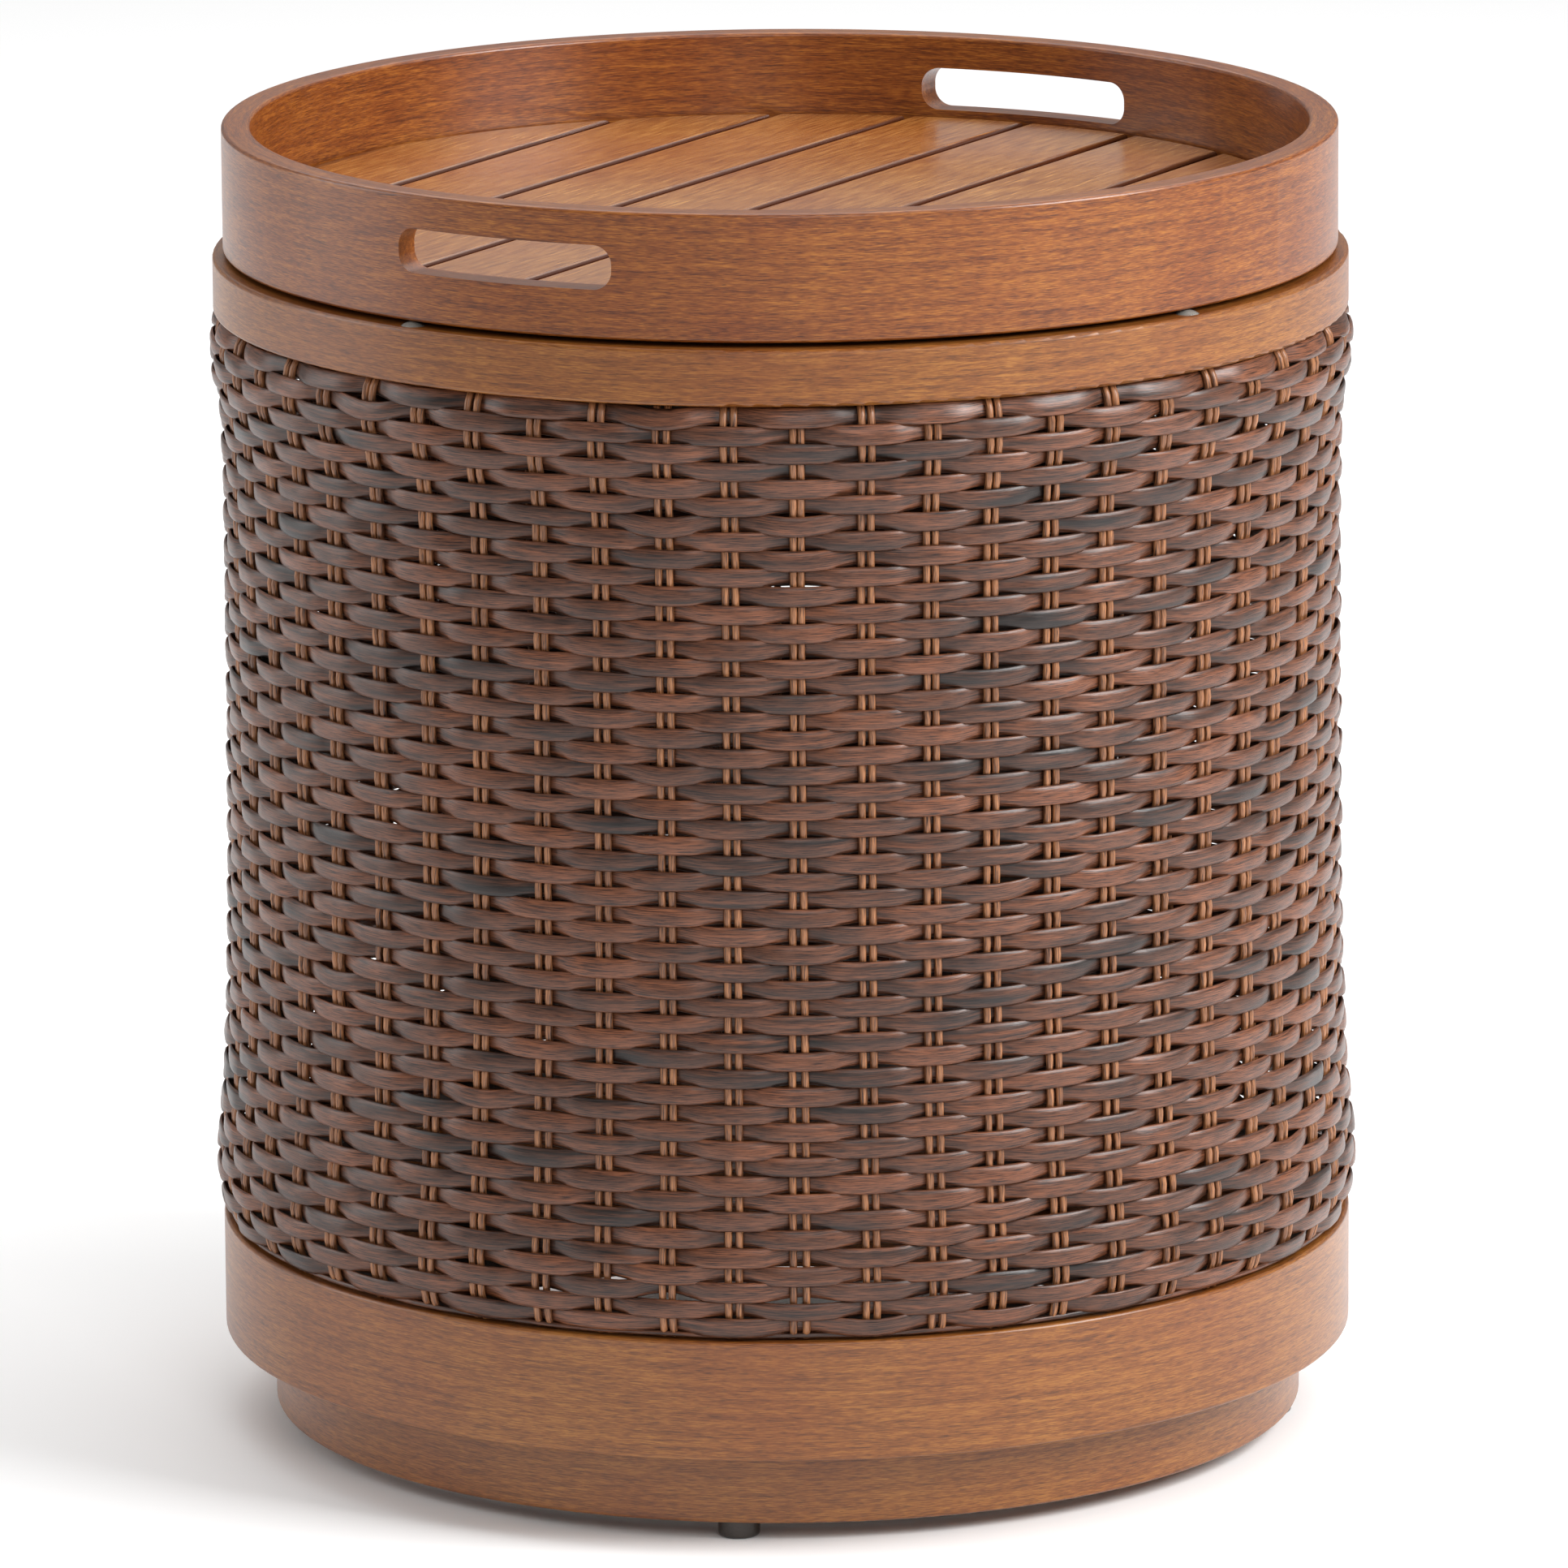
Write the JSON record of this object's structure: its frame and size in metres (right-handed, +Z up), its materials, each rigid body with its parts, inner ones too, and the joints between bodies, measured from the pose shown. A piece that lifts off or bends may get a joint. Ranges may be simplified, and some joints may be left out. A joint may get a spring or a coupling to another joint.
{
  "type": "drum side table",
  "caption": "Round side table: a lift-off slatted wooden tray with hand slots on a woven resin wicker drum with a wooden base and levelling feet.",
  "frame": {"origin": "on the floor in the middle of the table, under its axis", "axes": "+Z up along the drum's axis; the tray's slats run along Y and its two hand slots face -Y and +Y; +X to the right seen from -Y"},
  "size_m": [0.4962, 0.4962, 0.5715],
  "materials": {
    "rim_wood": "satin",
    "slat_wood": "satin",
    "base_wood": "satin",
    "wicker": "satin, streaked like rattan",
    "frame_metal": "powder coated",
    "screw_steel": "zinc plated",
    "insert_brass": "plain",
    "pad_plastic": "glossy",
    "clear_bumper": "clear"
  },
  "bodies": {
    "drum": {"plinth_ring": "base_wood", "base_band": "base_wood", "plinth_screws": "screw_steel", "lower_hoop": "frame_metal", "upper_hoop": "frame_metal", "lower_hoop_screws": "screw_steel", "cap_ring_screws": "screw_steel", "frame_post_1": "frame_metal", "frame_post_2": "frame_metal", "frame_post_3": "frame_metal", "frame_post_4": "frame_metal", "frame_post_5": "frame_metal", "frame_post_6": "frame_metal", "wicker_wall": "wicker", "cap_ring": "base_wood", "tray_bumpers": "clear_bumper", "leveller_insert_1": "insert_brass", "leveller_insert_2": "insert_brass", "leveller_insert_3": "insert_brass", "leveller_insert_4": "insert_brass"},
    "tray": {"tray_rim": "rim_wood", "tray_ledge": "rim_wood", "tray_slat_1": "slat_wood", "tray_slat_2": "slat_wood", "tray_slat_3": "slat_wood", "tray_slat_4": "slat_wood", "tray_slat_5": "slat_wood", "tray_slat_6": "slat_wood", "tray_slat_7": "slat_wood", "tray_slat_8": "slat_wood", "tray_batten_front": "rim_wood", "tray_batten_rear": "rim_wood", "deck_screws": "screw_steel"},
    "leveller_1": {"leveller_stud_1": "screw_steel", "leveller_pad_1": "pad_plastic"},
    "leveller_2": {"leveller_stud_2": "screw_steel", "leveller_pad_2": "pad_plastic"},
    "leveller_3": {"leveller_stud_3": "screw_steel", "leveller_pad_3": "pad_plastic"},
    "leveller_4": {"leveller_stud_4": "screw_steel", "leveller_pad_4": "pad_plastic"}
  },
  "joints": [
    {"name": "tray_lift", "type": "slide", "parent": "drum", "child": "tray", "axis": [0, 0, 1], "range_m": [0, 0.15]},
    {"name": "leveller_1_travel", "type": "slide", "parent": "drum", "child": "leveller_1", "axis": [0, 0, -1], "range_m": [0, 0.008]},
    {"name": "leveller_2_travel", "type": "slide", "parent": "drum", "child": "leveller_2", "axis": [0, 0, -1], "range_m": [0, 0.008]},
    {"name": "leveller_3_travel", "type": "slide", "parent": "drum", "child": "leveller_3", "axis": [0, 0, -1], "range_m": [0, 0.008]},
    {"name": "leveller_4_travel", "type": "slide", "parent": "drum", "child": "leveller_4", "axis": [0, 0, -1], "range_m": [0, 0.008]}
  ]
}
